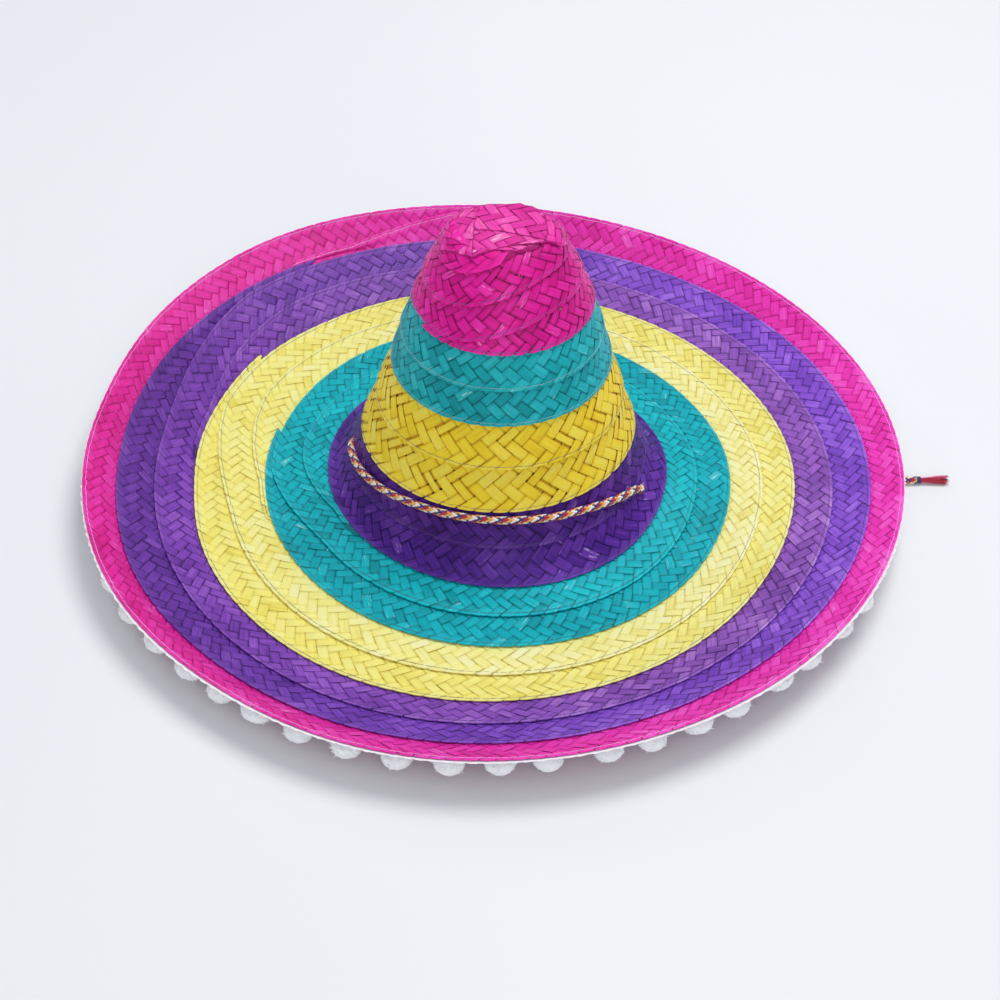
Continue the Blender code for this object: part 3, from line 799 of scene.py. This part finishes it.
def threads_piece(name, strands, materials, slot, node):
    """One mesh of pairs of a colour and a loft, with a material for each colour of thread."""
    colours = list(dict.fromkeys(colour for colour, part in strands))
    made = mesh_object(name, *joined([part for colour, part in strands]))
    finish_piece(made, [materials[colour] for colour in colours], slot, node)
    chosen = [[colours.index(colour)] * sum(map(len, part[1])) for colour, part in strands]
    made.data.polygons.foreach_set("material_index", sum(chosen, []))
    return made


def tassel(hand, end, direction, materials):
    """The cord's loose threads past a binding of dark thread, lying on the floor."""
    level = np.array([direction[0], direction[1], 0.0])
    level /= np.linalg.norm(level)
    cross = np.cross(UP, level)
    t = np.linspace(0, 1, 8)[None, :]
    turn = FULL * rng.random(TASSEL_THREADS)[:, None]
    out = np.sqrt(rng.random(TASSEL_THREADS))[:, None]
    reach = TASSEL_LENGTH * (0.82 + 0.18 * rng.random(TASSEL_THREADS))[:, None] * t
    spread = (1.3 + 2.2 * t**0.8) * out
    wave = 0.35 * t * np.sin(7 * t + 20 * rng.random(TASSEL_THREADS)[:, None])
    sideways = (spread * np.cos(turn) + wave) * MM
    height = end[2] + (spread * 0.72 * np.sin(turn) - 0.5 * t) * MM
    centre = end + level * (1.5 * MM + reach)[..., None] + cross * sideways[..., None]
    centre[..., 2] = np.maximum(height, 0.35 * MM)
    corner = np.radians([45, 135, 225, 315])
    ring = TASSEL_THREAD * (np.cos(corner)[:, None] * cross + np.sin(corner)[:, None] * UP)
    points = centre[:, :, None] + ring
    strand = np.stack(np.broadcast_arrays(reach[..., None], corner * TASSEL_THREAD, 0.0), -1)
    coloured = np.resize(TASSEL_COLOURS, TASSEL_THREADS)
    strands = []
    for colour in dict.fromkeys(TASSEL_COLOURS):
        chosen = coloured == colour
        strands.append((colour, lofted(points[chosen], {"strand": strand[chosen]})))

    run = np.linspace(0, 1, BINDING_SECTIONS)
    angle = FULL * BINDING_TURNS * run
    around = cross * np.cos(angle)[:, None] + UP * np.sin(angle)[:, None]
    line = end + level * (0.2 * MM + BINDING_LENGTH * run)[:, None] + around * BINDING_RADIUS
    sides, ups = frames_along(line)
    corner = np.radians(np.arange(6) * 60)
    ring = np.cos(corner)[:, None] * sides[:, None] + np.sin(corner)[:, None] * ups[:, None]
    strand = np.stack(np.broadcast_arrays(run[:, None] * 0.05, corner * MM, 0.0), -1)[None]
    binding = (line[:, None] + BINDING_THREAD * ring)[None]
    strands.append(("navy", lofted(binding, {"strand": strand})))
    return threads_piece(f"{hand}_tuft", strands, materials, "tassel_thread", f"{hand}_tassel")


def make_cord():
    """The cord across the crown's front, its tails and tassels. Returns the two holes it passes."""
    materials = {}
    for colour, (base, pale) in CORD_COLOURS.items():
        materials[colour] = thread_material(f"cord_{colour}", base, pale)
    fine = 0.6 * MM
    left_outside, left_inside = hole_ends(LEFT_HOLE, -1)
    right_outside, right_inside = hole_ends(RIGHT_HOLE, 1)
    front = [on_shell(arc, math.radians(azimuth), CORD_OFFSET) for azimuth, arc in FRONT_ROUTE]
    line = curve_through([left_inside, left_outside] + front + [right_outside, right_inside], fine)
    threads_piece("braid_front", braid(line), materials, "braided_cord", "chin_cord_front")

    left = []
    for degrees, radius, height in LEFT_TAIL:
        azimuth = math.radians(degrees)
        left.append((radius * math.cos(azimuth), radius * math.sin(azimuth), height))
    for side, outside, inside, tail, length in (
        ("right", right_outside, right_inside, RIGHT_TAIL, RIGHT_LENGTH),
        ("left", left_outside, left_inside, left, LEFT_LENGTH),
    ):
        onward = (inside - outside) / np.linalg.norm(inside - outside)
        start = [inside + onward * GAP, inside + onward * STRAIGHT_START]
        line = curve_through(start + list(tail), fine)
        name, node = f"braid_{side}_tail", f"chin_cord_{side}_tail"
        cord = threads_piece(name, braid(line), materials, "braided_cord", node)
        tuft = tassel(side, line[-1], line[-1] - line[-2], materials)
    return [(left_outside, left_inside), (right_outside, right_inside)]


# ---- fringe
POMPOMS = 57
POMPOM_RADIUS = 9.7 * MM
POMPOM_HALF_HEIGHT = 7.4 * MM
POMPOM_SQUASH = 0.5  # height of the half against the brim, as a share of the free half
POMPOM_RINGS = (0.2525, 0.2570)  # their radius at the sides and the back, and at the front
TRIM_WIDTH = 10.5 * MM
TRIM_PROUD = (0.1 * MM, 1.5 * MM)  # past the rim at the back, and at the front
TRIM_OFFSET = -1.3 * MM
TRIM_RISE = 0.7 * MM  # of its outer edge over its inner one
TRIM_HALF = 0.4 * MM  # half its thickness
TRIM_SHARES = np.array([0, 0.25, 0.5, 0.75, 0.9, 1.0, 1.0, 0.75, 0.5, 0.0])  # of its width
TRIM_SIDES = np.array([1, 1, 0.7, 1, 1, 0.4, -0.4, -1, -1, -1])  # of TRIM_HALF, at those shares
PICOT = 0.8 * MM
PICOT_COLUMNS = 6
POMPOM_COLUMNS = 24  # of the tape, from one pompom to the next
POMPOM_TURN, POMPOM_STRAY = np.radians([0.9, 0.35])
TUFTS = 150
TUFT_ROOT, TUFT_TIP = 0.55 * MM, 0.12 * MM  # radii


def ball(rings, sides):
    """Unit directions over a ball, as sections of a loft from pole to pole."""
    polar = np.linspace(0.03, math.pi - 0.03, rings)[:, None]
    turn = (np.arange(sides) * FULL / sides)[None, :]
    across = np.sin(polar)
    return np.stack([across * np.cos(turn), across * np.sin(turn), np.cos(polar) + 0 * turn], -1)


def make_fringe(wool):
    """The white tape under the rim with its picot edge, and the pompoms sewn on it."""
    columns = POMPOMS * POMPOM_COLUMNS
    turn = np.arange(columns) * FULL / columns
    fray = 0.4 + 1.2 * rng.random(columns)
    scallop = PICOT * fray * np.abs(np.sin(np.pi * np.arange(columns) / PICOT_COLUMNS))
    back, front = TRIM_PROUD
    outer = RIM_ARC + back + (front - back) * smooth(0, 0.8, -np.sin(turn))[:, None]
    inner = outer - TRIM_WIDTH
    offsets = TRIM_SIDES * TRIM_HALF + TRIM_OFFSET + TRIM_SHARES * TRIM_RISE
    arcs = inner + (outer - inner) * TRIM_SHARES + scallop[:, None] * (TRIM_SHARES > 0.8)
    points = on_shell(arcs, turn[:, None] + 0 * arcs, offsets[None] + 0 * arcs)
    index = np.arange(points.shape[0] * points.shape[1]).reshape(points.shape[:2])
    after = np.roll(index, -1, axis=0)
    quads = np.stack([index, np.roll(index, -1, 1), np.roll(after, -1, 1), after], -1).reshape(-1, 4)
    made = mesh_object("pompom_tape", points.reshape(-1, 3), [quads])
    finish_piece(made, [wool], "white_wool", "pompom_trim")

    directions = ball(15, 22)
    squash = np.array([1, 1, POMPOM_SQUASH])
    aside, ahead = POMPOM_RINGS
    parts = []
    for i in range(POMPOMS):
        azimuth = FULL * i / POMPOMS + POMPOM_STRAY * rng.normal() - POMPOM_TURN
        size = np.array([1, 1, POMPOM_HALF_HEIGHT / POMPOM_RADIUS]) * POMPOM_RADIUS
        size = size * (0.98 + 0.05 * rng.normal(size=3).clip(-1, 1))
        depth = TRIM_OFFSET - TRIM_HALF - 0.93 * POMPOM_SQUASH * POMPOM_HALF_HEIGHT
        ring = arc_at(aside + (ahead - aside) * smooth(0.35, 0.55, -math.sin(azimuth)))
        centre = on_shell(ring, azimuth, depth)
        around = np.array([-math.sin(azimuth), math.cos(azimuth), 0])
        normal = (on_shell(ring, azimuth, 0) - centre) / -depth
        axes = np.stack([np.cross(around, normal), around, normal])
        phase = FULL * rng.random((6, 1, 1))
        waves = rng.normal(size=(6, 3)) * 5.5
        bumps = sum(np.sin(directions @ wave + p) for wave, p in zip(waves, phase[:, 0, 0])) / 6
        grain = rng.normal(size=directions.shape[:2])
        core = directions * size * (0.92 + 0.04 * bumps + 0.015 * grain)[..., None]
        core = centre + core * np.where(core[..., 2:] > 0, squash, 1) @ axes
        parts.append(lofted(core[None], {}))
        root = rng.normal(size=(TUFTS, 3))
        root /= np.linalg.norm(root, axis=1)[:, None]
        lean = rng.normal(size=(TUFTS, 3)) * 0.28
        length = (0.92 + 0.05 * rng.random(TUFTS))[:, None]
        base, tip = root * size * 0.84, (root + lean * 0.3) * size * length
        base = centre + base * np.where(root[:, 2:] > 0, squash, 1) @ axes
        tip = centre + tip * np.where(root[:, 2:] > 0, squash, 1) @ axes
        side = np.cross(tip - base, rng.normal(size=(TUFTS, 3)))
        side /= np.linalg.norm(side, axis=1)[:, None]
        up = np.cross(tip - base, side)
        up /= np.linalg.norm(up, axis=1)[:, None]
        ring = [np.cos(a) * side + np.sin(a) * up for a in np.radians([0, 120, 240])]
        wide = np.stack([base + r * TUFT_ROOT for r in ring], axis=1)
        thin = np.stack([tip + r * TUFT_TIP for r in ring], axis=1)
        parts.append(lofted(np.stack([wide, thin], axis=1), {}))
    made = mesh_object("pompoms", *joined(parts), sharp_degrees=80)
    finish_piece(made, [wool], "white_wool")


# ---- crown tip
# The plait's start, folded flat over the crown's top. Each flap: its corners in mm on the shell
# unrolled about the tip (X, Y), the direction of its strands in degrees, and how far it lies over
# the shell in mm.
TIP_FLAPS = [
    ([(-24, 20), (-8, 27), (16, 24), (25, 8), (24, -12), (8, -24), (-13, -22), (-25, -9)], 70, 0.5),
    ([(-11, 15), (9, 18), (16, 34), (-18, 32)], 35, 1.1),
    ([(-26, 13), (-11, 15), (-12, -7), (-17, -26), (-38, -11)], 62, 1.3),
    ([(18, 8), (31, 0), (32, -12), (19, -13)], 15, 1.4),
    ([(-12, -6), (19, -12), (20, -14), (-17, -26)], 30, 1.8),
    ([(-11, 15), (9, 18), (19, 7), (20, -13), (-12, -6)], 24, 2.3),
]
TIP_PALM = ((178, 18, 116), (236, 48, 160), (255, 108, 192))
# How much painted shade darkens a tip strand where it passes under another one.
TIP_PAINTED_DIVE_SHADE = 0.3
FLAP_PITCH = 5.2 * MM
FLAP_STRAND = 0.45  # a strand's half width, as a share of that
FLATNESS = 0.5  # how far a flap is a flat facet rather than a part of the shell


def flap_place(corners, lift):
    """A function that puts points of a flap, by unrolled place and height over it, in space."""

    def shell_at(across, along, height):
        return on_shell(np.hypot(across, along), np.arctan2(along, across), height)

    x, y = (np.array(corners, float) * MM).T
    touched = shell_at(x, y, lift + 0 * x)
    plane = np.linalg.lstsq(np.stack([x, y, 0 * x + 1], 1), touched, rcond=None)[0]
    normal = np.cross(plane[0], plane[1])
    normal /= np.linalg.norm(normal)

    def place(across, along, height):
        flat = across[..., None] * plane[0] + along[..., None] * plane[1] + plane[2]
        flat = flat + height[..., None] * normal
        return flat + (1 - FLATNESS) * (shell_at(across, along, lift + height) - flat)

    return place


def woven_flap(corners, degrees, lift):
    """The strands and the folded edges of one flap, as lofts."""
    place = flap_place(corners, lift * MM)
    outline = np.array(corners, float) * MM
    turned = np.radians(degrees)
    parts = []
    for set_number, angle in enumerate((turned, turned + math.pi / 2)):
        way = np.array([math.cos(angle), math.sin(angle)])
        square = np.array([-math.sin(angle), math.cos(angle)])
        ends = outline @ way, outline @ square
        low, high = ends[1].min(), ends[1].max()
        for i in range(math.floor(low / FLAP_PITCH), math.ceil(high / FLAP_PITCH) + 1):
            side = (i + ACROSS * FLAP_STRAND) * FLAP_PITCH
            if side[-1] < low + MM or side[0] > high - MM:
                continue
            side = np.clip(side, low + 0.05 * MM, high - 0.05 * MM)
            near = ends[1] - side[:, None]
            far = np.roll(near, -1, axis=1)
            cuts = (np.roll(ends[0], -1) - ends[0]) * near / np.where(near == far, 1, near - far)
            first = np.where(near * far < 0, ends[0] + cuts, np.inf).min(axis=1)
            last = np.where(near * far < 0, ends[0] + cuts, -np.inf).max(axis=1)
            count = max(4, int((last - first).max() / MM))
            t = np.linspace(0, 1, count)[:, None]
            along = first + t * (last - first)
            cross = along / FLAP_PITCH + (i if set_number == 0 else -i)
            over = np.tanh(6 * np.cos(FULL * (cross - 0.5) / 4))
            over = over if set_number == 0 else -over
            height = HALF_LAYER * over + CROWNING * (CROWN_PROFILE - 0.5)
            spot = along[..., None] * way + (side + 0 * along)[..., None] * square
            points = place(spot[..., 0], spot[..., 1], height)
            strand = np.stack([along, side + 0 * along, 0 * along + i * 1.7 + set_number], -1)
            tone = np.full((1, 1, 1), rng.random())
            values = {"strand": strand[None], "tone": tone, "fold": 0 * tone, "side": EDGE_SHADE_PROFILE}
            # Painted shade where a strand passes under another one.
            values["dive"] = (1 - over)[None] / 2
            parts.append(lofted(points[None], values))
    inward = outline.mean(axis=0)
    for a, b in zip(outline, np.roll(outline, -1, axis=0)):
        t = np.linspace(-0.01, 1.01, 14)[:, None]
        line = a + (b - a) * t
        line = line + (inward - line) * 0.3 * MM / np.linalg.norm(inward - line, axis=1)[:, None]
        ring = np.radians(np.arange(6) * 60)
        outward = np.array([b[1] - a[1], a[0] - b[0]]) / np.linalg.norm(b - a)
        spot = line[:, None] + (0.6 * MM * np.cos(ring))[:, None] * outward
        height = 0.42 * MM * np.sin(ring) + 0 * spot[..., 0] - 0.1 * MM
        points = place(spot[..., 0], spot[..., 1], height)
        strand = np.stack([t * 0.02 + 0 * height, height, 0 * height], -1)
        zero = np.zeros((1, 1, 1))
        values = {"strand": strand[None], "tone": zero, "fold": zero, "side": zero, "dive": zero + 1}
        parts.append(lofted(points[None], values))
    return parts


def make_tip():
    """The folded start of the plait, which closes the top of the crown."""
    made = mesh_object("tip_flaps", *joined(sum((woven_flap(*flap) for flap in TIP_FLAPS), [])))
    material = palm_material("crown_tip", *TIP_PALM, TIP_PAINTED_DIVE_SHADE)
    finish_piece(made, [material], "magenta_palm", "crown_tip")


# ---- studio
FLOOR_TONES = ((0.80, 0.813, 0.825, 1), (0.83, 0.84, 0.845, 1))
SKY, SKY_STRENGTH = (0.875, 0.91, 1.0, 1), 0.51
LIGHTS = (  # name, place, diameter and watts
    ("key", (0.6, 0.5, 2.1), 1.2, 27.4),
    ("fill", (0.1, -1.8, 1.4), 1.4, 10),
    ("back", (-1.5, 1.7, 1.2), 1.0, 5),
)


def make_studio():
    n = Nodes("floor")
    n.dress(n.mix(n.remap(n.noise(n.place(), 1.2, 2.0), *MID_NOISE), *FLOOR_TONES), 0.9)
    bpy.ops.mesh.primitive_plane_add(size=16)
    floor = bpy.context.object
    floor.name = "floor"
    floor.data.materials.append(n.material)
    world = bpy.data.worlds.new("studio")
    world.use_nodes = True
    background = world.node_tree.nodes["Background"]
    background.inputs["Color"].default_value = SKY
    background.inputs["Strength"].default_value = SKY_STRENGTH
    bpy.context.scene.world = world
    for name, place, size, power in LIGHTS:
        light = bpy.data.lights.new(name, "AREA")
        light.shape = "DISK"
        light.size = size
        light.energy = power
        made = bpy.data.objects.new(name, light)
        made.location = place
        aim = -made.location.normalized()
        made.rotation_euler = aim.to_track_quat("-Z", "Y").to_euler()
        bpy.context.scene.collection.objects.link(made)
    bpy.context.scene.view_settings.view_transform = "Standard"


holes = make_cord()
make_tapes(holes)
make_fringe(wool_material())
make_tip()
make_studio()
